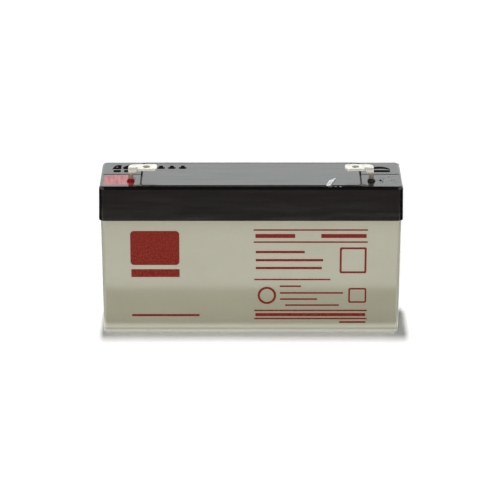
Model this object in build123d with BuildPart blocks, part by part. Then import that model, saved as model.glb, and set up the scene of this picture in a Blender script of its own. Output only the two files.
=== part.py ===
from build123d import *
import os
from math import radians, tan

# Sealed lead acid block of three cells, 6 V: a grey jar, a black lid with a vent cover,
# two flag tabs potted in resin, and the plate packs inside.
# X runs along the block, the tabs stand towards the front (-Y), Z is up.
# The origin is the middle of the underside. Sizes are in millimetres, angles in degrees.

# Outside of the block
lid_length = 97.0
lid_width = 25.0
lid_height = 11.5
seam_height = 39.0
corner_radius = 1.8
lid_overhang = 0.6
lid_draft = 1.0
wall_draft = 0.45
top_radius = 1.15
rim_chamfer = 0.15
foot_share = 0.7
shoulder_chamfer = 0.2

# Jar
wall = 1.8
partition = 1.5
floor_thickness = 2.0
tongue_inset = 0.9
tongue_height = 2.0
glue_gap = 0.1

# Underside of the lid
rib_gap = 0.15
rib_thickness = 0.8
rib_drop = 1.5
deck = 2.4
core_skin = 1.8
core_margin = 0.1
core_web = 0.9

# Vent cover, its chamber, the chimneys and their rubber caps
cover_end = 13.5
cover_side = 1.5
cover_thickness = 2.2
cover_corner = 1.5
cover_gap = 0.35
cover_chamfer = 0.25
ledge = 1.7
keeper_width = 2.0
keeper_height = 0.4
chimney_radius = 3.5
chimney_bore = 2.0
cap_wall = 1.05
cap_top = 1.3
cap_gap = 0.05
cap_lift = 0.1
cap_room = 1.7

# Gouge in the front edge of the vent cover
gouge_offset = 24.7
gouge_width = 1.6
gouge_lean = 2.6
gouge_reach = 7.2
gouge_depth = 0.12
gouge_start = (1, 2)

# Terminal corners of the lid, in front of the middle of the lid
zone_drop = 0.1
well_end = 1.6
well_web = 1.55
well_side = 2.5
well_setback = 0.8
well_corner = 1.0
well_depth = 4.1
well_skin = 1.6

# Posts and their bushings in the lid
post_inset = 5.4
post_setback = 2.3
post_radius = 1.5
post_gap = 0.1
head_radius = 2.3
head_height = 1.1
bushing_radius = 3.3
bushing_drop = 2.0

# Flag tabs, stamped and bent from strip
tab_rise = 4.0
tab_thickness = 0.8
tab_width = 4.75
tab_length = 9.1
tab_end_chamfer = 0.7
tab_root_round = 2.3
tab_hole_inset = 3.35
tab_hole_radius = 1.15
bend_radius = 0.8
foot_chamfer = 0.5
relief = 0.2
leg_clear = 0.6
leg_width = 1.6
leg_flare = 0.4
leg_flare_height = 0.7
neck_width = 2.7
neck_height = 1.4
foot_clear = 0.2
foot_reach = 5.6
foot_margin = 3.0
foot_rise = 2.4

# Resin, with a small collar where it creeps up the leg
collar_height = 0.8
collar_spread = 0.5
collar_taper = 25.0

# Plates and glass mats
headroom = 7.3
plate_margin = 0.7
positive_thickness = 2.2
negative_thickness = 1.5
positive_count = 3
frame_border = 2.0
grid_bar = 1.2
grid_columns = 2
grid_rows = 2
paste_depth = 0.2
lug_width = 4.0
lug_thickness = 1.4
pack_gap = 0.3
mat_margin = 0.2
mat_rise = 1.5
mat_corner = 0.8

# Cast straps and the welds between the cells
strap_width = 5.4
strap_thickness = 2.6
strap_lift = 0.2
strap_over = 0.25
strap_corner = 0.8
lug_depth = 1.5
lug_gap = 0.05
lug_margin = 0.2
flag_thickness = 1.8
flag_width = 9.0
flag_top_clear = 0.3
flag_corner = 1.5
flag_stand = 0.15
weld_radius = 1.5
weld_gap = 0.1
weld_margin = 0.5

# Jar and cells
shoulder_length = lid_length - 2 * lid_overhang
shoulder_width = lid_width - 2 * lid_overhang
shoulder_corner = corner_radius - lid_overhang
rim_top = seam_height + tongue_height
cell_length = (shoulder_length - 2 * wall - 2 * partition) / 3
cell_width = shoulder_width - 2 * wall
cell_spread = (rim_top - floor_thickness) * tan(radians(wall_draft))
cell_pitch = cell_length + partition
partition_x = cell_pitch / 2

# Heights in the lid
case_height = seam_height + lid_height
recess_top = rim_top + glue_gap
rib_bottom = recess_top - rib_drop
deck_top = recess_top + deck
ledge_height = case_height - cover_thickness
cap_height = ledge_height - keeper_height
chimney_top = cap_height - cap_top
zone_height = case_height - zone_drop
well_floor = zone_height - well_depth

# Vent cover and chimneys
cover_length = lid_length - 2 * cover_end
cover_width = lid_width - 2 * cover_side
cap_radius = chimney_radius + cap_gap + cap_wall
chimney_spacing = cover_length / 2 - ledge - cap_room - cap_radius

# Resin wells, given on the right side and mirrored to the left
well_inner = cover_length / 2 + cover_gap + well_web
well_outer = lid_length / 2 - well_end
well_front = well_side - lid_width / 2
well_back = -well_setback
post_x = well_outer - post_inset
post_y = well_back - post_setback

# Tab
blade_top = case_height + tab_rise
blade_bottom = blade_top - tab_thickness
leg_inner = well_inner + leg_clear
leg_outer = leg_inner + leg_width
neck_inner = leg_outer - neck_width
tab_end = leg_outer - tab_length
foot_back = well_back - foot_clear
tab_front = foot_back - foot_reach
leg_back = tab_front + tab_thickness
bend_back = leg_back + bend_radius
foot_outer = post_x + foot_margin
foot_top = well_floor + tab_thickness

# Plate packs
negative_count = positive_count + 1
stack_thickness = cell_width - 2 * cell_spread - 2 * pack_gap
plates_thickness = positive_count * positive_thickness + negative_count * negative_thickness
mat_thickness = (stack_thickness - plates_thickness) / (2 * positive_count)
pair_thickness = positive_thickness + negative_thickness + 2 * mat_thickness
plate_width = cell_length - 2 * cell_spread - 2 * plate_margin
plate_bottom = floor_thickness + mat_thickness
plate_top = seam_height - headroom
mat_width = cell_length - 2 * cell_spread - 2 * mat_margin
mat_top = plate_top + mat_rise

# Straps
strap_bottom = mat_top + strap_lift
strap_top = strap_bottom + strap_thickness
strap_length = stack_thickness + 2 * strap_over
flag_top = rib_bottom - flag_top_clear
weld_height = flag_top - weld_margin - weld_radius
weld_face = partition / 2 + flag_stand
lug_reach = weld_face + flag_thickness + lug_margin + lug_width / 2

# Room of the middle cell, drafted from the rim of the jar down
with BuildPart() as cell_room:
    with BuildSketch(Plane.XY.offset(rim_top)):
        Rectangle(cell_length, cell_width)
    extrude(amount=floor_thickness - rim_top)
    sides = cell_room.faces().filter_by(Axis.Z, reverse=True)
    draft(sides, Plane.XY.offset(rim_top), -wall_draft)

# Jar: a drafted box of three cells, with a tongue along its rim
with BuildPart() as container:
    with BuildSketch(Plane.XY.offset(seam_height)):
        Rectangle(shoulder_length, shoulder_width)
    extrude(amount=-seam_height)
    sides = container.faces().filter_by(Axis.Z, reverse=True)
    draft(sides, Plane.XY.offset(seam_height), -wall_draft)
    fillet(container.edges().group_by(Axis.Z)[1], shoulder_corner)
    fillet(container.faces().sort_by(Axis.Z)[0].edges(), foot_share * shoulder_corner)
    chamfer(container.faces().sort_by(Axis.Z)[-1].edges(), shoulder_chamfer)
    with BuildSketch(Plane.XY.offset(seam_height)):
        RectangleRounded(
            shoulder_length - 2 * tongue_inset,
            shoulder_width - 2 * tongue_inset,
            shoulder_corner - tongue_inset,
        )
    extrude(amount=tongue_height)
    with GridLocations(cell_pitch, 0, 3, 1):
        add(cell_room.part, mode=Mode.SUBTRACT)
    with BuildSketch(Plane.YZ.offset(-cell_pitch)):
        with Locations((0, weld_height)):
            Circle(weld_radius + weld_gap)
    extrude(amount=2 * cell_pitch, mode=Mode.SUBTRACT)

# Lid: drafted cap with a glue groove, a vent chamber, two resin wells and cored ends
with BuildPart() as lid:
    with BuildSketch(Plane.XY.offset(seam_height)):
        Rectangle(lid_length, lid_width)
    extrude(amount=lid_height)
    sides = lid.faces().filter_by(Axis.Z, reverse=True)
    draft(sides, Plane.XY.offset(seam_height), lid_draft)
    fillet(lid.edges().group_by(Axis.Z)[1], corner_radius)
    fillet(lid.faces().sort_by(Axis.Z)[-1].edges(), top_radius)
    chamfer(lid.faces().sort_by(Axis.Z)[0].edges(), rim_chamfer)

    # Room for the rim of the jar, and a rib that drops into each cell
    with BuildSketch(Plane.XY.offset(seam_height)):
        RectangleRounded(
            shoulder_length - 2 * tongue_inset + 2 * glue_gap,
            shoulder_width - 2 * tongue_inset + 2 * glue_gap,
            shoulder_corner - tongue_inset + glue_gap,
        )
    extrude(amount=recess_top - seam_height, mode=Mode.SUBTRACT)
    rib_length = cell_length - 2 * rib_gap
    rib_width = cell_width - 2 * rib_gap
    with BuildSketch(Plane.XY.offset(rib_bottom)):
        with GridLocations(cell_pitch, 0, 3, 1):
            Rectangle(rib_length, rib_width)
            Rectangle(
                rib_length - 2 * rib_thickness,
                rib_width - 2 * rib_thickness,
                mode=Mode.SUBTRACT,
            )
    extrude(amount=rib_drop)

    # Recess for the vent cover, and the chamber under it
    with BuildSketch(Plane.XY.offset(ledge_height)):
        RectangleRounded(
            cover_length + 2 * cover_gap,
            cover_width + 2 * cover_gap,
            cover_corner + cover_gap,
        )
    extrude(amount=cover_thickness, mode=Mode.SUBTRACT)
    with BuildSketch(Plane.XY.offset(deck_top)):
        Rectangle(cover_length - 2 * ledge, cover_width - 2 * ledge)
    extrude(amount=ledge_height - deck_top, mode=Mode.SUBTRACT)

    # One vent chimney for each cell
    with BuildSketch(Plane.XY.offset(deck_top)):
        with GridLocations(chimney_spacing, 0, 3, 1):
            Circle(chimney_radius)
    extrude(amount=chimney_top - deck_top)
    with BuildSketch(Plane.XY.offset(recess_top)):
        with GridLocations(chimney_spacing, 0, 3, 1):
            Circle(chimney_bore)
    extrude(amount=chimney_top - recess_top, mode=Mode.SUBTRACT)

    # Terminal corners: lowered tops, resin wells, and cores behind and below them
    core_outer = cell_pitch + rib_length / 2 - rib_thickness - core_margin
    core_back = rib_width / 2 - rib_thickness - core_margin
    core_length = core_outer - well_inner
    for side in (-1, 1):
        core_x = side * (well_inner + core_outer) / 2
        with BuildSketch(Plane.XY.offset(zone_height)):
            with Locations((side * (cover_length / 2 + cover_gap), 0)):
                Rectangle(
                    lid_length,
                    lid_width,
                    align=(Align.MAX if side < 0 else Align.MIN, Align.MAX),
                )
        extrude(amount=zone_drop, mode=Mode.SUBTRACT)
        with BuildSketch(Plane.XY.offset(well_floor)):
            with Locations((side * (well_inner + well_outer) / 2, (well_front + well_back) / 2)):
                RectangleRounded(well_outer - well_inner, well_back - well_front, well_corner)
        extrude(amount=well_depth, mode=Mode.SUBTRACT)
        with BuildSketch(Plane.XY.offset(recess_top)):
            with Locations((core_x, (core_back + core_web) / 2)):
                Rectangle(core_length, core_back - core_web)
        extrude(amount=case_height - core_skin - recess_top, mode=Mode.SUBTRACT)
        with BuildSketch(Plane.XY.offset(recess_top)):
            with Locations((core_x, (well_back - core_back) / 2)):
                Rectangle(core_length, core_back + well_back)
        extrude(amount=well_floor - well_skin - recess_top, mode=Mode.SUBTRACT)

        # Bushing for the post
        with BuildSketch(Plane.XY.offset(well_floor - well_skin)):
            with Locations((side * post_x, post_y)):
                Circle(bushing_radius)
        extrude(amount=-bushing_drop)
        with BuildSketch(Plane.XY.offset(well_floor)):
            with Locations((side * post_x, post_y)):
                Circle(post_radius + post_gap)
        extrude(amount=-(well_skin + bushing_drop), mode=Mode.SUBTRACT)

# Vent cover: flat strip with a rib that holds the caps down, and a gouge in its edge
with BuildPart() as vent_cover:
    with BuildSketch(Plane.XY.offset(ledge_height)):
        RectangleRounded(cover_length, cover_width, cover_corner)
    extrude(amount=cover_thickness)
    chamfer(vent_cover.faces().sort_by(Axis.Z)[-1].edges(), cover_chamfer)
    with BuildSketch(Plane.XY.offset(cap_height)):
        Rectangle(2 * chimney_spacing + 2 * cap_radius, keeper_width)
    extrude(amount=keeper_height)
    left = (gouge_offset - gouge_width / 2, -cover_width / 2)
    right = (gouge_offset + gouge_width / 2, -cover_width / 2)
    tip = (gouge_offset + gouge_lean, gouge_reach - cover_width / 2)
    with BuildSketch(Plane.XY.offset(case_height)):
        with BuildLine():
            Line(left, right)
            TangentArc(right, tip, tangent=gouge_start)
            Line(tip, left)
        make_face()
    extrude(amount=-gouge_depth, mode=Mode.SUBTRACT)


# Rubber cap over one chimney
def valve_cap(x):
    with BuildPart() as cap:
        with BuildSketch(Plane.XY.offset(deck_top + cap_lift)):
            with Locations((x, 0)):
                Circle(cap_radius)
        extrude(amount=cap_height - deck_top - cap_lift)
        with BuildSketch(Plane.XY.offset(deck_top + cap_lift)):
            with Locations((x, 0)):
                Circle(chimney_radius + cap_gap)
        extrude(amount=chimney_top - deck_top - cap_lift, mode=Mode.SUBTRACT)
    return cap.part


# Pasted plate: lead frame with a lug, the paste slightly below the bars of the frame
def plate(cell_x, lug_x, y_front, thickness):
    y_back = y_front + thickness
    y_middle = (y_front + y_back) / 2
    height = plate_top - plate_bottom
    window_width = (plate_width - 2 * frame_border - (grid_columns - 1) * grid_bar) / grid_columns
    window_height = (height - 2 * frame_border - (grid_rows - 1) * grid_bar) / grid_rows
    with BuildPart() as body:
        with BuildSketch(Plane.XZ.offset(-y_back)):
            with Locations((cell_x, plate_bottom)):
                Rectangle(plate_width, height, align=(Align.CENTER, Align.MIN))
        extrude(amount=thickness)
        with BuildSketch(Plane.XZ.offset(-y_middle - lug_thickness / 2)):
            with Locations((lug_x, plate_top)):
                Rectangle(
                    lug_width,
                    strap_bottom + lug_depth - plate_top,
                    align=(Align.CENTER, Align.MIN),
                )
        extrude(amount=lug_thickness)
        for face_y, outwards in ((y_front, 1), (y_back, -1)):
            with BuildSketch(Plane.XZ.offset(-face_y)):
                with Locations((cell_x, plate_bottom + height / 2)):
                    with GridLocations(
                        window_width + grid_bar,
                        window_height + grid_bar,
                        grid_columns,
                        grid_rows,
                    ):
                        Rectangle(window_width, window_height)
            extrude(amount=-outwards * paste_depth, mode=Mode.SUBTRACT)
    return body.part


# Glass mat, folded under a positive plate and up both its faces
def separator(cell_x, y_front):
    pocket_thickness = positive_thickness
    with BuildPart() as mat:
        with BuildSketch(Plane.YZ.offset(cell_x - mat_width / 2)) as section:
            with Locations((y_front, floor_thickness)):
                Rectangle(
                    pocket_thickness + 2 * mat_thickness,
                    mat_top - floor_thickness,
                    align=(Align.MIN, Align.MIN),
                )
            chamfer(section.vertices().group_by(Axis.Y)[0], mat_corner)
            with Locations((y_front + mat_thickness, plate_bottom)):
                Rectangle(
                    pocket_thickness,
                    mat_top - plate_bottom,
                    align=(Align.MIN, Align.MIN),
                    mode=Mode.SUBTRACT,
                )
        extrude(amount=mat_width)
    return mat.part


# Cast bar over a row of lugs, from x_low to x_high
def strap_bar(x_low, x_high, lug_x, lug_ys):
    with BuildPart() as bar:
        with BuildSketch(Plane.XY.offset(strap_bottom)) as outline:
            with Locations(((x_low + x_high) / 2, 0)):
                Rectangle(x_high - x_low, strap_length)
            chamfer(outline.vertices(), strap_corner)
        extrude(amount=strap_thickness)
        with BuildSketch(Plane.XY.offset(strap_bottom)):
            with Locations(*[(lug_x, y) for y in lug_ys]):
                Rectangle(lug_width + 2 * lug_gap, lug_thickness + 2 * lug_gap)
        extrude(amount=lug_depth, mode=Mode.SUBTRACT)
    return bar.part


# Strap of an end cell, cast with the post that goes up through the lid
def post_strap(side, lug_ys):
    x = side * post_x
    bar = strap_bar(x - strap_width / 2, x + strap_width / 2, x, lug_ys)
    with BuildPart() as strap:
        add(bar)
        with BuildSketch(Plane.XY.offset(strap_top)):
            with Locations((x, post_y)):
                Circle(post_radius)
        extrude(amount=foot_top - strap_top)
        with BuildSketch(Plane.XY.offset(foot_top)):
            with Locations((x, post_y)):
                Circle(head_radius)
        extrude(amount=head_height)
    return strap.part


# Strap beside a partition, with a flag that is welded through it
def flag_strap(wall_x, side, lug_ys):
    lug_x = wall_x + side * lug_reach
    face_x = wall_x + side * weld_face
    far_x = lug_x + side * strap_width / 2
    bar = strap_bar(min(face_x, far_x), max(face_x, far_x), lug_x, lug_ys)
    with BuildPart() as strap:
        add(bar)
        with BuildSketch(Plane.YZ.offset(face_x)) as flag:
            with Locations((0, strap_bottom)):
                Rectangle(flag_width, flag_top - strap_bottom, align=(Align.CENTER, Align.MIN))
            chamfer(flag.vertices().group_by(Axis.Y)[-1], flag_corner)
        extrude(amount=side * flag_thickness)
    return strap.part


# Weld nugget in the hole of a partition
def weld(wall_x):
    with BuildPart() as nugget:
        with BuildSketch(Plane.YZ.offset(wall_x - weld_face)):
            with Locations((0, weld_height)):
                Circle(weld_radius)
        extrude(amount=2 * weld_face)
    return nugget.part


# Negative tab: blade, leg and foot in one bent strip, riveted under the head of the post
with BuildPart() as terminal_negative:
    with BuildSketch(Plane.YZ.offset(neck_inner)) as bent:
        with BuildLine():
            Polyline(
                (bend_back + tab_thickness, blade_top),
                (tab_front, blade_top),
                (tab_front, well_floor),
                (foot_back, well_floor),
                (foot_back, foot_top),
                (leg_back, foot_top),
                (leg_back, blade_bottom),
                (bend_back + tab_thickness, blade_bottom),
                close=True,
            )
        make_face()
        chamfer(bent.vertices().group_by(Axis.X)[0].sort_by(Axis.Y)[0], foot_chamfer)
        fillet(bent.vertices().group_by(Axis.X)[0].sort_by(Axis.Y)[-1], bend_radius + tab_thickness)
        fillet(bent.vertices().group_by(Axis.X)[1].sort_by(Axis.Y)[-1], bend_radius)
    extrude(amount=foot_outer - neck_inner)

    # The strip narrows below the bend and widens again to the foot inside the resin
    with BuildSketch(Plane.XZ.offset(-foot_back)):
        with BuildLine():
            Polyline(
                (neck_inner, blade_bottom),
                (leg_inner, blade_bottom - neck_height),
                (leg_inner, well_floor),
                (neck_inner, well_floor),
                close=True,
            )
        make_face()
        with BuildLine():
            Polyline(
                (leg_outer, blade_top),
                (leg_outer, zone_height + leg_flare_height),
                (leg_outer + leg_flare, zone_height),
                (foot_outer, well_floor + foot_rise),
                (foot_outer, blade_top),
                close=True,
            )
        make_face()
    extrude(amount=foot_back - tab_front, mode=Mode.SUBTRACT)

    # Blade, with its latch hole
    with BuildSketch(Plane.XY.offset(blade_bottom)) as blade:
        with BuildLine():
            Polyline(
                (tab_end, tab_front),
                (neck_inner - relief, tab_front),
                (neck_inner - relief, bend_back),
                (leg_outer, bend_back),
                (leg_outer, tab_front + tab_width),
                (tab_end, tab_front + tab_width),
                close=True,
            )
        make_face()
        chamfer(blade.vertices().group_by(Axis.X)[0], tab_end_chamfer)
        fillet(blade.vertices().group_by(Axis.X)[-1].sort_by(Axis.Y)[-1], tab_root_round)
        with Locations((tab_end + tab_hole_inset, tab_front + tab_width / 2)):
            Circle(tab_hole_radius, mode=Mode.SUBTRACT)
    extrude(amount=tab_thickness)
    with BuildSketch(Plane.XY.offset(well_floor)):
        with Locations((post_x, post_y)):
            Circle(post_radius + post_gap)
    extrude(amount=tab_thickness, mode=Mode.SUBTRACT)

with BuildPart() as terminal_positive:
    mirror(terminal_negative.part, about=Plane.YZ)


# Resin poured in a well round the foot, the leg and the head of the post
def resin_fill(side, terminal, strap):
    with BuildPart() as resin:
        with BuildSketch(Plane.XY.offset(well_floor)):
            with Locations((side * (well_inner + well_outer) / 2, (well_front + well_back) / 2)):
                RectangleRounded(well_outer - well_inner, well_back - well_front, well_corner)
        extrude(amount=well_depth)
        with BuildSketch(Plane.XY.offset(zone_height)):
            with Locations((side * (leg_inner + leg_outer) / 2, tab_front + tab_thickness / 2)):
                Rectangle(leg_width + 2 * collar_spread, tab_thickness + 2 * collar_spread)
        extrude(amount=collar_height, taper=collar_taper)
        with BuildSketch(Plane.XY.offset(well_floor)):
            with Locations((side * post_x, post_y)):
                Circle(post_radius + post_gap)
        extrude(amount=tab_thickness, mode=Mode.SUBTRACT)
        add(terminal, mode=Mode.SUBTRACT)
        add(strap, mode=Mode.SUBTRACT)
    return resin.part


# Order of the pack in each cell, from the front: a negative plate, then pairs
pack_front = -stack_thickness / 2
negative_fronts = [pack_front + i * pair_thickness for i in range(negative_count)]
mat_fronts = [y + negative_thickness for y in negative_fronts[:positive_count]]
positive_fronts = [y + mat_thickness for y in mat_fronts]
negative_lug_ys = [y + negative_thickness / 2 for y in negative_fronts]
positive_lug_ys = [y + positive_thickness / 2 for y in positive_fronts]

# The current runs from the left post through the cells to the right post
cell_xs = [-cell_pitch, 0, cell_pitch]
positive_lug_xs = [-post_x, lug_reach - partition_x, lug_reach + partition_x]
negative_lug_xs = [-lug_reach - partition_x, partition_x - lug_reach, post_x]
end_strap_positive = post_strap(-1, positive_lug_ys)
end_strap_negative = post_strap(1, negative_lug_ys)

pieces = {
    "container": container.part,
    "lid": lid.part,
    "vent_cover": vent_cover.part,
    "terminal_positive": terminal_positive.part,
    "terminal_negative": terminal_negative.part,
    "resin_positive": resin_fill(-1, terminal_positive.part, end_strap_positive),
    "resin_negative": resin_fill(1, terminal_negative.part, end_strap_negative),
    "strap_positive_1": end_strap_positive,
    "strap_negative_1": flag_strap(-partition_x, -1, negative_lug_ys),
    "strap_positive_2": flag_strap(-partition_x, 1, positive_lug_ys),
    "strap_negative_2": flag_strap(partition_x, -1, negative_lug_ys),
    "strap_positive_3": flag_strap(partition_x, 1, positive_lug_ys),
    "strap_negative_3": end_strap_negative,
    "intercell_weld_1": weld(-partition_x),
    "intercell_weld_2": weld(partition_x),
}
for cell in range(3):
    number = cell + 1
    pieces[f"valve_cap_{number}"] = valve_cap((cell - 1) * chimney_spacing)
    for i, y in enumerate(positive_fronts, start=1):
        lug_x = positive_lug_xs[cell]
        pieces[f"positive_plate_{number}_{i}"] = plate(cell_xs[cell], lug_x, y, positive_thickness)
    for i, y in enumerate(negative_fronts, start=1):
        lug_x = negative_lug_xs[cell]
        pieces[f"negative_plate_{number}_{i}"] = plate(cell_xs[cell], lug_x, y, negative_thickness)
    for i, y in enumerate(mat_fronts, start=1):
        pieces[f"separator_{number}_{i}"] = separator(cell_xs[cell], y)

os.makedirs("parts", exist_ok=True)
for name, piece in pieces.items():
    piece.label = name
    export_step(piece, f"parts/{name}.step")
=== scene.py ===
import math

import bmesh
import bpy
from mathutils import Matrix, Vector


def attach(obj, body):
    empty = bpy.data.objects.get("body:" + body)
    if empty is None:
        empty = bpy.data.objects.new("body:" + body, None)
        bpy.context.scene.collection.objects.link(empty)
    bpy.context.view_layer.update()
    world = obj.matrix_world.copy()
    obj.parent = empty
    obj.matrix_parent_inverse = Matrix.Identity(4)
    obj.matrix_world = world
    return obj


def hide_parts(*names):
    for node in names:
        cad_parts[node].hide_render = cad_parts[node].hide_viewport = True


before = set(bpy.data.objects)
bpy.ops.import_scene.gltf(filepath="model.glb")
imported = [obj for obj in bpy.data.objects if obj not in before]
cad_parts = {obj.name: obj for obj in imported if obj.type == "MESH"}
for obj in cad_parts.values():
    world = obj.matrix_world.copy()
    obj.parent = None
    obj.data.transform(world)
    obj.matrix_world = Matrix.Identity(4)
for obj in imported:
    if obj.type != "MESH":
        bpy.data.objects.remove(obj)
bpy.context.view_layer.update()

# Lengths on the block are written in millimetres and multiplied by MM. The studio is written in metres.
MM = 0.001

# Sizes that the dressing shares with the moulded parts
seam_height = 39.0
wall_half_width = 11.9
wall_draft = math.radians(0.45)
deck_height = 50.5
corner_height = 50.4
mould_split_height = 1.75
tab_bend_height = 53.5
paste_height = 31.7
red_leg = (-38.5, -6.4, corner_height)

# Nearly all values of a fractal pattern lie between these.
LOW, HIGH = 0.3, 0.7


def linear(code):
    """An sRGB hex colour as linear numbers."""
    values = []
    for start in (0, 2, 4):
        part = int(code[start : start + 2], 16) / 255
        values.append(part / 12.92 if part <= 0.04045 else ((part + 0.055) / 1.055) ** 2.4)
    return (*values, 1.0)


def add(tree, kind, inputs=None, **settings):
    """One node with its settings; inputs maps a socket's name or number to a value or to another socket."""
    made = tree.nodes.new(kind)
    for key, value in settings.items():
        setattr(made, key, value)
    for key, value in (inputs or {}).items():
        if isinstance(value, bpy.types.NodeSocket):
            tree.links.new(value, made.inputs[key])
        else:
            made.inputs[key].default_value = value
    return made


def bare_finish(name):
    """A material without nodes, and its node tree."""
    made = bpy.data.materials.new(name)
    made.use_nodes = True
    made.node_tree.nodes.clear()
    return made, made.node_tree


def surface(name, constants=None):
    """A material, its node tree and its shader, with the values that are the same all over."""
    made, tree = bare_finish(name)
    shader = add(tree, "ShaderNodeBsdfPrincipled", constants)
    add(tree, "ShaderNodeOutputMaterial", {"Surface": shader.outputs[0]})
    return made, tree, shader


def patches(tree, size_mm, detail=3.0, stretch=(1, 1, 1), roughness=0.5):
    """A fractal pattern whose patches are size_mm wide on the block, stretched along its axes."""
    place = add(tree, "ShaderNodeTexCoord").outputs["Object"]
    squeeze = tuple(1 / (size_mm * MM * s) for s in stretch)
    mapped = add(tree, "ShaderNodeMapping", {"Vector": place, "Scale": squeeze})
    return add(
        tree,
        "ShaderNodeTexNoise",
        {"Vector": mapped.outputs[0], "Scale": 1.0, "Detail": detail, "Roughness": roughness},
    ).outputs["Fac"]


def along(tree, axis):
    """How far along one of the block's axes a point lies, in metres."""
    place = add(tree, "ShaderNodeTexCoord").outputs["Object"]
    return add(tree, "ShaderNodeSeparateXYZ", {0: place}).outputs[axis]


def ragged(tree, distance, pattern, stray_mm):
    """A distance that strays by up to stray_mm both ways with a pattern."""
    reach = stray_mm * MM
    stray = add(
        tree,
        "ShaderNodeMapRange",
        {"Value": pattern, "From Min": LOW, "From Max": HIGH, "To Min": -reach, "To Max": reach},
    )
    return add(tree, "ShaderNodeMath", {0: distance, 1: stray.outputs["Result"]}, operation="ADD").outputs[0]


def tinted(tree, base, colour, pattern, start=LOW, end=HIGH, first=0.0, last=1.0):
    """The base with a share of another colour, from first to last as the pattern goes from start to end."""
    share = add(
        tree,
        "ShaderNodeMapRange",
        {"Value": pattern, "From Min": start, "From Max": end, "To Min": first, "To Max": last},
    ).outputs["Result"]
    mixed = add(tree, "ShaderNodeMix", {"Factor": share, "A": base, "B": colour}, data_type="RGBA")
    return mixed.outputs["Result"]


def roughened(tree, shader, pattern, first, last, start=LOW, end=HIGH):
    """Roughness from first to last as the pattern goes from start to end."""
    rough = add(
        tree,
        "ShaderNodeMapRange",
        {"Value": pattern, "From Min": start, "From Max": end, "To Min": first, "To Max": last},
    ).outputs["Result"]
    tree.links.new(rough, shader.inputs["Roughness"])


def relief(tree, shader, height, depth_mm, normal=None):
    """Bump of a real depth under the shader."""
    inputs = {"Height": height, "Distance": depth_mm * MM, "Strength": 1.0}
    if normal is not None:
        inputs["Normal"] = normal
    bump = add(tree, "ShaderNodeBump", inputs)
    tree.links.new(bump.outputs[0], shader.inputs["Normal"])
    return bump.outputs[0]


def grey_abs():
    """Jar: injection moulded ABS from a polished mould. A warm grey with a soft gloss that mirrors the table
    faintly, a slight orange peel, and cloudiness where the plastic flowed. The foot is painted paler in two
    steps, a painted highlight for the bright floor that lights it and mirrors in it, and a fine line of
    painted shade runs round it at the mould's split. The real grain is finer than it can show, so it is drawn
    0.25 mm wide."""
    made, tree, shader = surface("jar_grey_abs", {"IOR": 1.6})
    flow = patches(tree, 16, detail=2, stretch=(1.6, 1, 0.8))
    tone = tinted(tree, linear("ACA994"), linear("A7A48F"), flow)
    grain = patches(tree, 0.25, detail=2)
    tone = tinted(tree, tone, linear("8F8B7C"), grain, last=0.10)
    height = along(tree, "Z")
    # Painted highlight: the foot is painted paler in two steps, for the bright floor that lights it and
    # mirrors in it.
    tone = tinted(tree, tone, linear("C9C8B3"), height, 2.1 * MM, 4.2 * MM, first=1, last=0)
    tone = tinted(tree, tone, linear("DCDBCF"), height, 1.0 * MM, 1.5 * MM, first=1, last=0)
    # Painted shade: a fine darker line round the foot at the mould's split.
    from_line = add(tree, "ShaderNodeMath", {0: height, 1: mould_split_height * MM}, operation="SUBTRACT")
    from_line = add(tree, "ShaderNodeMath", {0: from_line.outputs[0]}, operation="ABSOLUTE")
    tone = tinted(tree, tone, linear("A3A18E"), from_line.outputs[0], 0.12 * MM, 0.45 * MM, first=0.7, last=0)
    tree.links.new(tone, shader.inputs["Base Color"])
    roughened(tree, shader, grain, 0.11, 0.17)
    peel = patches(tree, 3, detail=1)
    relief(tree, shader, peel, 0.003)
    return made


def black_abs(name, streaks):
    """Lid and vent cover: black ABS from a polished mould. It is nearly black itself, and its gloss mirrors
    the room with a slight haze. Handling leaves fine rubs along the block, which are rougher by streaks."""
    made, tree, shader = surface(name, {"IOR": 1.53})
    cloud = patches(tree, 9, detail=3)
    tone = tinted(tree, linear("0D0B0B"), linear("120F10"), cloud)
    tree.links.new(tone, shader.inputs["Base Color"])
    rub = patches(tree, 1.2, detail=3, stretch=(14, 1, 1))
    roughened(tree, shader, rub, 0.12, 0.12 + streaks, 0.35, 0.75)
    waves = patches(tree, 5, detail=1)
    soft = relief(tree, shader, waves, 0.012)
    relief(tree, shader, rub, 0.0015 * (1 + 8 * streaks), soft)
    return made


def red_resin():
    """Epoxy, pigmented red, poured and wiped: deep and glossy, drawn out in streaks from front to back. Round
    the leg of the tab it is painted darker in a ragged ring, painted shade under the tab. Towards the middle
    of the lid it thins out over the black."""
    made, tree, shader = surface("resin_red_epoxy", {"IOR": 1.55})
    stroke = patches(tree, 0.8, detail=3, stretch=(1, 7, 1))
    tone = tinted(tree, linear("BC1E28"), linear("8C1018"), stroke)
    place = add(tree, "ShaderNodeTexCoord").outputs["Object"]
    leg = tuple(v * MM for v in red_leg)
    from_leg = add(tree, "ShaderNodeVectorMath", {0: place, 1: leg}, operation="DISTANCE").outputs["Value"]
    from_leg = ragged(tree, from_leg, stroke, 0.4)
    # Painted shade: darker red in a ragged ring round the leg, under the tab.
    tone = tinted(tree, tone, linear("7A0610"), from_leg, 1.1 * MM, 1.9 * MM, first=1, last=0)
    across = ragged(tree, along(tree, "X"), stroke, 0.5)
    tone = tinted(tree, tone, linear("141011"), across, -38.3 * MM, -36.2 * MM, last=0.85)
    tree.links.new(tone, shader.inputs["Base Color"])
    roughened(tree, shader, stroke, 0.14, 0.34)
    relief(tree, shader, stroke, 0.03)
    return made


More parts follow.
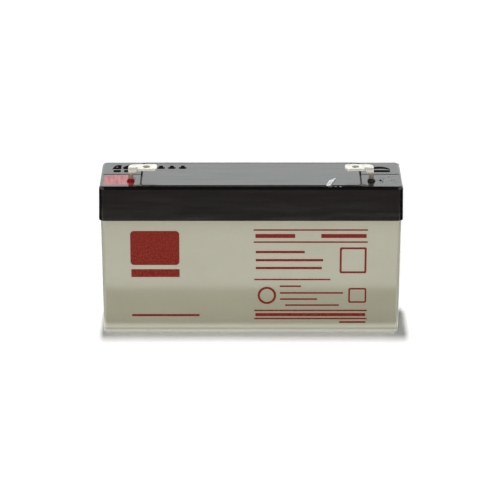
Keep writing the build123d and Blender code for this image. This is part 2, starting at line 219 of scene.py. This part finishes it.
def black_resin():
    """Epoxy, pigmented black and poured: glossy, with slow waves where it set."""
    made, tree, shader = surface("resin_black_epoxy", {"IOR": 1.55})
    wave = patches(tree, 1.8, detail=2)
    tone = tinted(tree, linear("1B1A1C"), linear("232224"), wave)
    tree.links.new(tone, shader.inputs["Base Color"])
    roughened(tree, shader, wave, 0.12, 0.28)
    relief(tree, shader, wave, 0.05)
    return made


def tin_plate():
    """Tabs: brass strip with matt tin plate. The tin is made of fine crystals, so it scatters more light than
    it mirrors: a cream white metal, with the strip's rolling lines along it, drawn 0.12 mm wide to show.
    Below the bend the leg is painted darker in runs: painted shade under the blade."""
    made, tree, shader = surface("tab_tin_plate", {"Metallic": 0.6})
    roll = patches(tree, 0.12, detail=2, stretch=(30, 1, 1))
    cloud = patches(tree, 1.6, detail=3)
    tone = tinted(tree, linear("FBFAF0"), linear("EDE9DB"), cloud)
    # Painted shade: the leg below the bend is painted darker in runs, under the blade.
    runs = patches(tree, 0.45, detail=3, stretch=(1, 1, 5))
    leg_shade = tinted(tree, linear("B5AC9C"), linear("84786B"), runs, 0.38, 0.62)
    shaded_below, lit_above = (tab_bend_height - 0.8) * MM, tab_bend_height * MM
    tone = tinted(tree, tone, leg_shade, along(tree, "Z"), shaded_below, lit_above, first=0.85, last=0)
    tree.links.new(tone, shader.inputs["Base Color"])
    roughened(tree, shader, cloud, 0.32, 0.46)
    relief(tree, shader, roll, 0.003)
    return made


def plain_finish(name, light, dark, size_mm, rough, metallic=0.0, depth_mm=0.02, sheen=0.0, pasted=False):
    """A mottled finish for a piece inside. Its patches stand for fibres and grains too fine to show. A pasted
    plate shows bare lead above its paste."""
    made, tree, shader = surface(name, {"Metallic": metallic, "Sheen Weight": sheen})
    grain = patches(tree, size_mm, detail=4, roughness=0.6)
    tone = tinted(tree, linear(light), linear(dark), grain)
    if pasted:
        paste, lead = (paste_height - 0.1) * MM, (paste_height + 0.1) * MM
        tone = tinted(tree, tone, linear("8C8F93"), along(tree, "Z"), paste, lead)
    tree.links.new(tone, shader.inputs["Base Color"])
    roughened(tree, shader, grain, rough, min(1, rough + 0.15))
    relief(tree, shader, grain, depth_mm)
    return made


def ink(name, code, broken, rough, shine):
    """Screen ink or hot stamped foil, a film of some hundredths of a millimetre: matt, and screen ink is
    broken a little where the mesh left specks."""
    made, tree, shader = surface(name, {"Specular IOR Level": shine})
    speck = patches(tree, 0.35, detail=3)
    tone = tinted(tree, linear(code), linear("B4B09F"), speck, 0.45, 0.75, last=broken)
    tree.links.new(tone, shader.inputs["Base Color"])
    roughened(tree, shader, speck, rough, min(1, rough + 0.12))
    relief(tree, shader, speck, 0.004)
    return made


def painted_glint():
    """Nick glint: a white, rough film on the nick in the black ABS, with grey streaks in it. It is a painted
    highlight for the glint of the nick's facet.
    """
    made, tree, shader = surface("nick_painted_glint", {"Roughness": 0.7})
    glint_streak = patches(tree, 0.35, detail=4, stretch=(1, 2.5, 1), roughness=0.65)
    tone = tinted(tree, linear("F4F6F7"), linear("9CA0A3"), glint_streak, 0.42, 0.66)
    tree.links.new(tone, shader.inputs["Base Color"])
    relief(tree, shader, glint_streak, 0.05)
    return made


jar_grey = grey_abs()
lid_black = black_abs("lid_black_abs", streaks=0.10)
cover_black = black_abs("cover_black_abs", streaks=0.16)
resin_red = red_resin()
resin_black = black_resin()
tin = tin_plate()
print_red = ink("print_red_ink", "7D1B10", broken=0.12, rough=0.45, shine=0.12)
# The black foil also serves as painted shade along the edges of the moulded signs.
dark_marks_and_edge_shade = ink("black_foil_and_painted_edge_shade", "060505", broken=0.0, rough=0.85, shine=0.05)
glint_white = painted_glint()

# Inside: moulded rubber, matt; cured paste in cast grids, dull brown and dull grey; glass fibre felt, white
# and soft; lead as cast, a dull grey metal
cap_rubber = plain_finish("cap_rubber", "2A2A2A", "202020", 1.2, 0.55)
positive_paste = plain_finish(
    "positive_lead_dioxide_paste", "533A2E", "3B2A22", 0.7, 0.8, depth_mm=0.05, pasted=True
)
negative_paste = plain_finish(
    "negative_sponge_lead_paste", "8D9093", "707478", 0.7, 0.75, depth_mm=0.05, pasted=True
)
glass_mat = plain_finish("glass_fibre_mat", "EDEDE8", "DAD9D2", 0.5, 0.9, depth_mm=0.06, sheen=0.2)
cast_lead = plain_finish("cast_lead", "9A9DA1", "7B7E83", 1.0, 0.42, metallic=1.0)

inner_finish = {
    "valve_cap": cap_rubber,
    "positive_plate": positive_paste,
    "negative_plate": negative_paste,
    "separator": glass_mat,
    "strap": cast_lead,
    "intercell_weld": cast_lead,
}
for node_name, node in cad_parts.items():
    for start, finish in inner_finish.items():
        if node_name.startswith(start):
            node.data.materials.clear()
            node.data.materials.append(finish)


def piece(name, mesh_or_bmesh, finish, replaced=()):
    """A finished piece on the block's one body."""
    mesh = mesh_or_bmesh
    if isinstance(mesh, bmesh.types.BMesh):
        mesh = bpy.data.meshes.new(name)
        mesh_or_bmesh.to_mesh(mesh)
        mesh_or_bmesh.free()
    made = bpy.data.objects.new(name, mesh)
    bpy.context.scene.collection.objects.link(made)
    made.data.materials.clear()
    made.data.materials.append(finish)
    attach(made, "root")
    if replaced:
        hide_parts(*replaced)
    return made


def even_corners(mesh, sharp):
    """Keeps flats flat under smooth shading. At each corner a face takes the mean normal of the faces there
    that turn from it by less than sharp degrees, and large faces count most."""
    around = [[] for _ in mesh.vertices]
    for face in mesh.polygons:
        for vertex in face.vertices:
            around[vertex].append((face.normal.copy(), face.area * 1e6))
    limit = math.cos(math.radians(sharp))
    corners = []
    for face in mesh.polygons:
        for vertex in face.vertices:
            total = Vector()
            for normal, area in around[vertex]:
                if normal.dot(face.normal) > limit:
                    total += normal * area * area
            corners.append(total.normalized() if total.length > 0 else face.normal.copy())
    mesh.normals_split_custom_set(corners)


def dressed(node, name, finish, round_mm=0.0, sharp=30):
    """A CAD node as one joined skin with smooth shading and, where asked, rounded edges."""
    skin = bmesh.new()
    skin.from_mesh(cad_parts[node].data)
    bmesh.ops.remove_doubles(skin, verts=skin.verts, dist=0.001 * MM)
    bmesh.ops.dissolve_limit(skin, angle_limit=math.radians(0.1), verts=skin.verts, edges=skin.edges)
    mesh = bpy.data.meshes.new(name)
    skin.to_mesh(mesh)
    skin.free()
    mesh.shade_smooth()
    if not round_mm:
        even_corners(mesh, sharp)
        return piece(name, mesh, finish, (node,))
    mesh.set_sharp_from_angle(angle=math.radians(sharp))
    made = piece(name, mesh, finish, (node,))
    edge = made.modifiers.new("rounded_edges", "BEVEL")
    edge.width = round_mm * MM
    edge.segments = 2
    edge.limit_method = "ANGLE"
    edge.angle_limit = math.radians(sharp)
    edge.harden_normals = True
    even = made.modifiers.new("flats_shade_flat", "WEIGHTED_NORMAL")
    even.weight = 100
    even.keep_sharp = True
    return made


dressed("container", "jar_skin", jar_grey)
dressed("lid", "lid_skin", lid_black)
dressed("vent_cover", "cover_skin", cover_black)
dressed("resin_positive", "resin_red_skin", resin_red)
dressed("resin_negative", "resin_black_skin", resin_black)
dressed("terminal_positive", "tab_left_skin", tin, round_mm=0.12)
dressed("terminal_negative", "tab_right_skin", tin, round_mm=0.12)


# Films of ink and other thin pieces, from their outlines
def on_front(x, z, lift):
    """A point of the jar's front wall, which leans in towards the foot."""
    wall = -(wall_half_width - (seam_height - z) * math.tan(wall_draft))
    return (x, wall - lift, z)


def on_top(x, y, lift):
    """A point of the lid's top."""
    return (x, y, deck_height + lift)


def rounded_box(left, right, low, high, radius, steps=5):
    """Corner-rounded outline as points, going round once."""
    radius = max(min(radius, (right - left) / 2, (high - low) / 2), 0.001)
    middles = (
        (right - radius, high - radius),
        (left + radius, high - radius),
        (left + radius, low + radius),
        (right - radius, low + radius),
    )
    points = []
    for number, (u, v) in enumerate(middles):
        for step in range(steps + 1):
            angle = math.pi / 2 * (number + step / steps)
            points.append((u + radius * math.cos(angle), v + radius * math.sin(angle)))
    return points


def open_box(left, right, low, high, stroke, radius, inner_radius=0.3):
    """A box's outer and inner outline."""
    outer = rounded_box(left, right, low, high, radius)
    return outer, rounded_box(left + stroke, right - stroke, low + stroke, high - stroke, inner_radius)


def circle(u, v, radius, count=40):
    turn = 2 * math.pi / count
    return [(u + radius * math.cos(i * turn), v + radius * math.sin(i * turn)) for i in range(count)]


def bars(height, *places):
    """Strokes of one height, each from its left end, its right end and the height of its middle."""
    half = height / 2
    return [
        rounded_box(left, right, middle - half, middle + half, radius=0.12, steps=2)
        for left, right, middle in places
    ]


def film(target, outer, inner, place, thickness, sunk=0.02):
    """A closed film over an outline, or between two outlines with as many points each."""

    def ring(points, lift):
        return [target.verts.new(Vector(place(u, v, lift)) * MM) for u, v in points]

    top, bottom = ring(outer, thickness), ring(outer, -sunk)
    count = len(outer)
    sides = [(top, bottom, 1)]
    if inner is None:
        target.faces.new(top)
        target.faces.new(bottom[::-1])
    else:
        top_in, bottom_in = ring(inner, thickness), ring(inner, -sunk)
        sides.append((top_in, bottom_in, -1))
        for i in range(count):
            j = (i + 1) % count
            target.faces.new((top[i], top[j], top_in[j], top_in[i]))
            target.faces.new((bottom_in[i], bottom_in[j], bottom[j], bottom[i]))
    for high, low, way in sides:
        for i in range(count):
            j = (i + 1) % count
            face = (high[i], low[i], low[j], high[j])
            target.faces.new(face if way > 0 else face[::-1])


def thin_piece(name, shapes, place, finish, thickness):
    """One piece from filled outlines, or pairs of outlines for boxes and rings."""
    target = bmesh.new()
    for shape in shapes:
        outer, inner = shape if isinstance(shape, tuple) else (shape, None)
        film(target, outer, inner, place, thickness)
    bmesh.ops.recalc_face_normals(target, faces=target.faces)
    return piece(name, target, finish)


# Print on the front of the jar
def print_piece(name, shapes):
    return thin_piece(name, shapes, on_front, print_red, thickness=0.03)


print_piece(
    "print_rules",
    [
        *bars(0.5, (0.8, 37.3, 35.74), (0.8, 37.3, 31.61)),
        *bars(0.5, (1.0, 25.5, 18.73), (1.0, 37.4, 7.97), (1.0, 37.4, 5.14)),
    ],
)
print_piece("print_field", [rounded_box(-38.6, -22.9, 23.74, 35.4, 1.2), *bars(2.7, (-38.4, -22.9, 20.94))])
print_piece("print_foot_line", bars(0.75, (-38.4, -16.6, 6.33)))
print_piece(
    "print_headings",
    [
        *bars(1.35, (1.4, 14.1, 33.7), (22.4, 36.9, 33.7)),
        *bars(1.1, (1.4, 36.9, 6.5)),
        *bars(0.6, (28.5, 37.0, 3.9)),
    ],
)
print_piece("print_lines", bars(0.8, (1.5, 17.2, 28.2), (1.5, 23.1, 25.4), (1.5, 22.7, 22.7)))
print_piece(
    "print_notes", bars(0.55, (9.2, 16.1, 16.4), (9.3, 29.6, 14.07), (9.3, 21.3, 11.92), (11.0, 28.3, 9.82))
)
print_piece("print_square", [open_box(28.4, 37.0, 20.9, 29.8, stroke=0.65, radius=0.5)])
print_piece("print_tag", [open_box(31.3, 37.1, 10.63, 15.8, stroke=0.55, radius=0.6)])
print_piece("print_ring", [(circle(5.1, 13.2, 3.0), circle(5.1, 13.2, 2.25))])


# Pieces that repeat
def recipe(name, sizes):
    """An empty geometry tree with named inputs: the tree, and its inputs as sockets."""
    tree = bpy.data.node_groups.new(name, "GeometryNodeTree")
    tree.interface.new_socket("Result", in_out="OUTPUT", socket_type="NodeSocketGeometry")
    for label, kind in sizes.items():
        tree.interface.new_socket(label, in_out="INPUT", socket_type=kind)
    return tree, add(tree, "NodeGroupInput").outputs


def set_out(tree, finish, copies):
    """Ends a recipe: copies of a shape at their places, made real and given their finish."""
    placed = add(tree, "GeometryNodeInstanceOnPoints", copies)
    real = add(tree, "GeometryNodeRealizeInstances", {0: placed.outputs[0]})
    coated = add(tree, "GeometryNodeSetMaterial", {"Geometry": real.outputs[0], "Material": finish})
    add(tree, "NodeGroupOutput", {0: coated.outputs[0]})
    return tree


def grown(name, tree, values, finish):
    """The plain piece that a geometry tree makes with these values for its named inputs."""
    carrier = bpy.data.objects.new(name + "_carrier", bpy.data.meshes.new(name + "_carrier"))
    bpy.context.scene.collection.objects.link(carrier)
    growth = carrier.modifiers.new("growth", "NODES")
    growth.node_group = tree
    for item in tree.interface.items_tree:
        if item.in_out == "INPUT":
            growth[item.identifier] = values[item.name]
    seen = bpy.context.evaluated_depsgraph_get()
    mesh = bpy.data.meshes.new_from_object(carrier.evaluated_get(seen), depsgraph=seen)
    bpy.data.objects.remove(carrier)
    return piece(name, mesh, finish)


def stroke_row():
    """Equal tiles with rounded corners in a row."""
    tree, given = recipe(
        "stroke_row",
        {
            "Count": "NodeSocketInt",
            "Start": "NodeSocketVector",
            "Step": "NodeSocketVector",
            "Width": "NodeSocketFloat",
            "Depth": "NodeSocketFloat",
            "Corner": "NodeSocketFloat",
            "Thickness": "NodeSocketFloat",
            "Finish": "NodeSocketMaterial",
        },
    )
    line = {"Count": given["Count"], "Start Location": given["Start"], "Offset": given["Step"]}
    spots = add(tree, "GeometryNodeMeshLine", line)
    box = {"Width": given["Width"], "Height": given["Depth"]}
    outline = add(tree, "GeometryNodeCurvePrimitiveQuadrilateral", box)
    corner = {"Curve": outline.outputs[0], "Radius": given["Corner"], "Count": 4}
    rounded = add(tree, "GeometryNodeFilletCurve", corner, mode="POLY")
    flat = add(tree, "GeometryNodeFillCurve", {"Curve": rounded.outputs[0]}, mode="NGONS")
    raised = add(
        tree, "GeometryNodeExtrudeMesh", {"Mesh": flat.outputs[0], "Offset Scale": given["Thickness"]}
    )
    under = add(tree, "GeometryNodeFlipFaces", {"Mesh": flat.outputs[0]})
    both = add(tree, "GeometryNodeJoinGeometry", {0: raised.outputs["Mesh"]})
    tree.links.new(under.outputs[0], both.inputs[0])
    tile = add(tree, "GeometryNodeMergeByDistance", {"Geometry": both.outputs[0], "Distance": 0.001 * MM})
    return set_out(tree, given["Finish"], {"Points": spots.outputs[0], "Instance": tile.outputs[0]})


def grains_on_an_edge():
    """Small grains that stray from a line, each stretched and turned by chance."""
    tree, given = recipe(
        "grains_on_an_edge",
        {
            "Count": "NodeSocketInt",
            "Start": "NodeSocketVector",
            "Step": "NodeSocketVector",
            "Stray": "NodeSocketVector",
            "Smallest": "NodeSocketVector",
            "Largest": "NodeSocketVector",
            "Seed": "NodeSocketInt",
            "Finish": "NodeSocketMaterial",
        },
    )
    line = {"Count": given["Count"], "Start Location": given["Start"], "Offset": given["Step"]}
    spots = add(tree, "GeometryNodeMeshLine", line)
    back = add(tree, "ShaderNodeVectorMath", {0: given["Stray"], "Scale": -1.0}, operation="SCALE")
    both_ways = {0: back.outputs[0], 1: given["Stray"], "Seed": given["Seed"]}
    stray = add(tree, "FunctionNodeRandomValue", both_ways, data_type="FLOAT_VECTOR")
    moved = add(tree, "GeometryNodeSetPosition", {"Geometry": spots.outputs[0], "Offset": stray.outputs[0]})
    sizes = {0: given["Smallest"], 1: given["Largest"], "Seed": given["Seed"]}
    size = add(tree, "FunctionNodeRandomValue", sizes, data_type="FLOAT_VECTOR")
    lean, swing = 0.3, 1.2
    turns = {0: (-lean, -lean, -swing), 1: (lean, lean, swing), "Seed": 7}
    turn = add(tree, "FunctionNodeRandomValue", turns, data_type="FLOAT_VECTOR")
    grain = add(tree, "GeometryNodeMeshIcoSphere", {"Radius": 1.0, "Subdivisions": 2})
    copies = {
        "Points": moved.outputs[0],
        "Instance": grain.outputs[0],
        "Rotation": turn.outputs[0],
        "Scale": size.outputs[0],
    }
    return set_out(tree, given["Finish"], copies)


def bubble_rims():
    """Rings of different sizes, strewn over a rectangle."""
    tree, given = recipe(
        "bubble_rims",
        {
            "Middle": "NodeSocketVector",
            "Length": "NodeSocketFloat",
            "Width": "NodeSocketFloat",
            "Density": "NodeSocketFloat",
            "Radius": "NodeSocketFloat",
            "Seed": "NodeSocketInt",
            "Finish": "NodeSocketMaterial",
        },
    )
    area = {"Size X": given["Length"], "Size Y": given["Width"], "Vertices X": 2, "Vertices Y": 2}
    pool = add(tree, "GeometryNodeMeshGrid", area)
    laid = add(tree, "GeometryNodeTransform", {"Geometry": pool.outputs[0], "Translation": given["Middle"]})
    strewn = {"Mesh": laid.outputs[0], "Density": given["Density"], "Seed": given["Seed"]}
    spots = add(tree, "GeometryNodeDistributePointsOnFaces", strewn, distribute_method="RANDOM")
    round_rim = {"Resolution": 24, "Radius": given["Radius"]}
    rim = add(tree, "GeometryNodeCurvePrimitiveCircle", round_rim, mode="RADIUS")
    bead_share = 0.3
    bead_radius = add(tree, "ShaderNodeMath", {0: given["Radius"], 1: bead_share}, operation="MULTIPLY")
    round_bead = {"Resolution": 8, "Radius": bead_radius.outputs[0]}
    bead = add(tree, "GeometryNodeCurvePrimitiveCircle", round_bead, mode="RADIUS")
    ring = add(tree, "GeometryNodeCurveToMesh", {"Curve": rim.outputs[0], "Profile Curve": bead.outputs[0]})
    smallest, largest = 0.35, 1.0
    sizes = {2: smallest, 3: largest, "Seed": given["Seed"]}
    size = add(tree, "FunctionNodeRandomValue", sizes, data_type="FLOAT")
    copies = {"Points": spots.outputs[0], "Instance": ring.outputs[0], "Scale": size.outputs[1]}
    return set_out(tree, given["Finish"], copies)


# Marks stamped on the vent cover, half sunk in it so that no gap shows
strokes = stroke_row()


def stamped_row(name, count, x, y, step, width, depth, height=deck_height, sunk=0.02):
    values = {
        "Count": count,
        "Start": Vector((x, y, height - sunk)) * MM,
        "Step": Vector((step, 0, 0)) * MM,
        "Width": width * MM,
        "Depth": depth * MM,
        "Corner": 0.45 * min(width, depth) * MM,
        "Thickness": 2 * sunk * MM,
        "Finish": dark_marks_and_edge_shade,
    }
    return grown(name, strokes, values, dark_marks_and_edge_shade)


stamped_row("stamped_dashes_low", count=3, x=-29.1, y=5.9, step=3.5, width=2.6, depth=1.7)
stamped_row(
    "stamped_dashes_high", count=3, x=-29.1, y=7.3, step=3.5, width=1.3, depth=1.9, height=deck_height + 0.005
)


# Moulded polarity signs behind the wells: the shade along their edges is painted on as thin black films
def painted_sign_shade(name, shapes):
    return thin_piece(name, shapes, on_top, dark_marks_and_edge_shade, thickness=0.02)


plus_left = [(-44.8, 4.7), (-41.9, 4.7), (-41.9, 8.6), (-42.6, 8.8), (-43.6, 8.5), (-44.3, 7.0)]
plus_left_hole = [(-43.7, 6.4), (-43.1, 6.4), (-43.0, 7.1), (-43.1, 7.3), (-43.3, 7.3), (-43.5, 6.9)]
plus_right = [(-41.2, 4.7), (-39.2, 4.7), (-39.2, 9.2), (-40.4, 7.9), (-41.4, 6.6)]
plus_low_left = rounded_box(-44.3, -41.9, 1.7, 3.9, 0.5, 3)
plus_low_right = rounded_box(-40.9, -38.6, 1.7, 3.9, 0.5, 3)
painted_sign_shade("plus_edge_shade", [(plus_left, plus_left_hole), plus_right, plus_low_left, plus_low_right])

arch_low_left = [(38.6, 4.4), (39.5, 4.75), (40.4, 4.95), (41.4, 5.1)]
arch_low_right = [(42.4, 5.1), (43.3, 4.9), (44.1, 4.55), (44.9, 4.0)]
arch_top_right = [(44.85, 4.7), (44.4, 5.6), (43.7, 6.35), (42.9, 6.9), (42.1, 7.15)]
arch_top_left = [(41.2, 7.2), (40.3, 7.05), (39.4, 6.75), (38.6, 6.4)]
minus_low = rounded_box(38.8, 44.8, 1.8, 3.8, 0.6, 3)
painted_sign_shade("minus_edge_shade", [arch_low_left + arch_low_right + arch_top_right + arch_top_left, minus_low])


# Knock on the front edge of the cover: a white leaf painted on the nick as the glint of its facet, and white
# grains along the edge as painted highlights
leaf_right = [(23.85, -11.3), (25.2, -11.3), (25.5, -9.8), (26.15, -7.6), (27.0, -5.0)]
leaf_left = [(27.1, -4.0), (26.0, -4.8), (24.9, -6.6), (24.25, -8.8)]
thin_piece("nick_glint_leaf", [leaf_right + leaf_left], on_top, glint_white, thickness=0.05)
# Painted highlights: small white grains along the cover's front edge stand for its glints.
grown(
    "edge_glint_grains",
    grains_on_an_edge(),
    {
        "Count": 9,
        "Start": Vector((23.0, -11.75, 50.36)) * MM,
        "Step": Vector((0.72, 0, 0)) * MM,
        "Stray": Vector((0.3, 0.22, 0.03)) * MM,
        "Smallest": Vector((0.08, 0.04, 0.03)) * MM,
        "Largest": Vector((0.34, 0.12, 0.06)) * MM,
        "Seed": 4,
        "Finish": glint_white,
    },
    glint_white,
)

# Bubbles that broke at the surface of the black resin, with densities in rings per square metre
rims = bubble_rims()
for name, middle, length, width, density, radius, seed in (
    ("bubble_rims_small", (42.6, -5.0), 6.6, 6.0, 2.6e5, 0.24, 3),
    ("bubble_rim_large", (41.3, -5.8), 0.2, 0.2, 1.2e8, 0.52, 5),
):
    grown(
        name,
        rims,
        {
            "Middle": Vector((*middle, corner_height)) * MM,
            "Length": length * MM,
            "Width": width * MM,
            "Density": density,
            "Radius": radius * MM,
            "Seed": seed,
            "Finish": resin_black,
        },
        resin_black,
    )


# Floor
def seen_directly(tree):
    """1 for a ray that shows something to the camera, straight, mirrored or through glass, and else 0."""
    ray = add(tree, "ShaderNodeLightPath").outputs
    two = {0: ray["Is Camera Ray"], 1: ray["Is Glossy Ray"]}
    either = add(tree, "ShaderNodeMath", two, operation="MAXIMUM").outputs[0]
    three = {0: either, 1: ray["Is Transmission Ray"]}
    return add(tree, "ShaderNodeMath", three, operation="MAXIMUM").outputs[0]


def grey(level):
    return (level, level, level, 1)


def white_board():
    """Matt white board. The camera sees it brighter than it lights the block, so that it comes out white and
    keeps the block's shadow, and the block's gloss mirrors it brighter still."""
    made, tree = bare_finish("floor_white_board")
    lit = add(tree, "ShaderNodeBsdfDiffuse", {"Color": (0.88, 0.88, 0.87, 1)})
    mirrored = add(tree, "ShaderNodeLightPath").outputs["Is Glossy Ray"]
    levels = {"Factor": mirrored, "A": grey(1.15), "B": grey(2.35)}
    bright = add(tree, "ShaderNodeMix", levels, data_type="RGBA").outputs["Result"]
    shown = add(tree, "ShaderNodeBsdfDiffuse", {"Color": bright})
    both = add(tree, "ShaderNodeMixShader", {0: seen_directly(tree), 1: lit.outputs[0], 2: shown.outputs[0]})
    add(tree, "ShaderNodeOutputMaterial", {"Surface": both.outputs[0]})
    return made


def card(name, left, right, start, end, finish):
    """A flat card between two level edges. Start and end give the y and z of the edges."""
    mesh = bpy.data.meshes.new(name)
    corners = [(left, *start), (right, *start), (right, *end), (left, *end)]
    mesh.from_pydata(corners, [], [(0, 1, 2, 3)])
    made = bpy.data.objects.new(name, mesh)
    bpy.context.scene.collection.objects.link(made)
    made.data.materials.append(finish)
    return made


card("floor", -2, 2, (-1.5, 0), (2.5, 0), white_board())


# Studio cards that only the block's gloss sees. Black ones keep the room's reflection out of the front of the
# lid, a grey one stands for the dim table in front, and two pale ones light the jar's upright corners.
def cloth(name, shade, tint=(1, 1, 1)):
    made, tree = bare_finish(name)
    face = add(tree, "ShaderNodeBsdfDiffuse", {"Color": (*(shade * part for part in tint), 1)})
    add(tree, "ShaderNodeOutputMaterial", {"Surface": face.outputs[0]})
    return made


def flag(name, left, right, start, end, finish):
    made = card(name, left, right, start, end, finish)
    made.visible_camera = False
    made.visible_diffuse = False
    made.visible_shadow = False
    made.visible_transmission = False


black_cloth = cloth("flag_black_cloth", 0.01)
grey_cloth = cloth("flag_grey_cloth", 0.28, (1, 0.87, 0.83))
white_card = cloth("side_card_white", 1.4)

flag("flag_near", -0.054, 0.054, (-0.0475, 0.001), (-0.0165, 0.001), black_cloth)
for side, word in ((-1, "left"), (1, "right")):
    near, far, out = side * 0.056, side * 0.13, side * 0.7
    flag("card_" + word, near, far, (-0.088, 0.001), (0.03, 0.001), white_card)
    flag("flag_" + word, far, out, (-0.107, 0.002), (0.4, 0.002), black_cloth)
half_width = 0.25
flag("flag_low", -half_width, half_width, (-0.3, 0.001), (-0.107, 0.001), grey_cloth)
flag("flag_far", -half_width, half_width, (-1.1, 0.001), (-0.3, 0.001), black_cloth)
flag("flag_front", -half_width, half_width, (-1.1, 0), (-1.1, 0.9), black_cloth)
flag("flag_top", -half_width, half_width, (-1.1, 0.9), (0.84, 0.57), black_cloth)


# Lamps
def lamp(name, place, aim, size, brightness, glossy=True, colour=(1, 1, 1)):
    """A rectangular softbox whose face has a given brightness, where 1 is white."""
    width, height = size
    data = bpy.data.lights.new(name, "AREA")
    data.shape = "RECTANGLE"
    data.size, data.size_y = width, height
    data.energy = brightness * math.pi * width * height
    data.color = colour
    made = bpy.data.objects.new(name, data)
    bpy.context.scene.collection.objects.link(made)
    made.location = place
    made.rotation_euler = (Vector(aim) - Vector(place)).to_track_quat("-Z", "Y").to_euler()
    made.visible_camera = False
    made.visible_glossy = glossy


low_middle, middle = (0, 0, 0.03), (0, 0, 0.04)
lamp("softbox_back", (0, 0.85, 0.34), middle, size=(1.1, 0.42), brightness=0.61, colour=(0.94, 1.0, 0.985))
lamp("softbox_top", (-0.04, 0.172, 2.0), (-0.04, 0.171, 0), size=(0.09, 0.33), brightness=325.0, glossy=False)
lamp("fill_front", (-0.1, -1.0, 0.22), low_middle, size=(0.8, 0.42), brightness=1.9, glossy=False)
lamp("flash", (-0.03, -0.80, 0.24), low_middle, size=(0.05, 0.05), brightness=250.0, glossy=False)


# White surroundings that the camera sees in full and that light the block only a little
def studio():
    made = bpy.data.worlds.new("studio")
    made.use_nodes = True
    tree = made.node_tree
    tree.nodes.clear()
    strength = add(tree, "ShaderNodeMapRange", {"Value": seen_directly(tree), "To Min": 0.05, "To Max": 1.0})
    sky = add(tree, "ShaderNodeBackground", {"Color": (1, 1, 1, 1), "Strength": strength.outputs["Result"]})
    add(tree, "ShaderNodeOutputWorld", {"Surface": sky.outputs[0]})
    return made


bpy.context.scene.world = studio()

# Camera: a long lens, looking down on the block a little
look_down = 20.903
camera_data = bpy.data.cameras.new("camera")
camera_data.lens = 184.43
camera_data.sensor_width = 36
camera_data.shift_x = -0.00186
camera = bpy.data.objects.new("camera", camera_data)
bpy.context.scene.collection.objects.link(camera)
camera.location = (-0.00003, -0.7769, 0.3211)
camera.rotation_euler = (math.radians(90 - look_down), 0, 0)
bpy.context.scene.camera = camera
bpy.context.scene.view_settings.view_transform = "Standard"
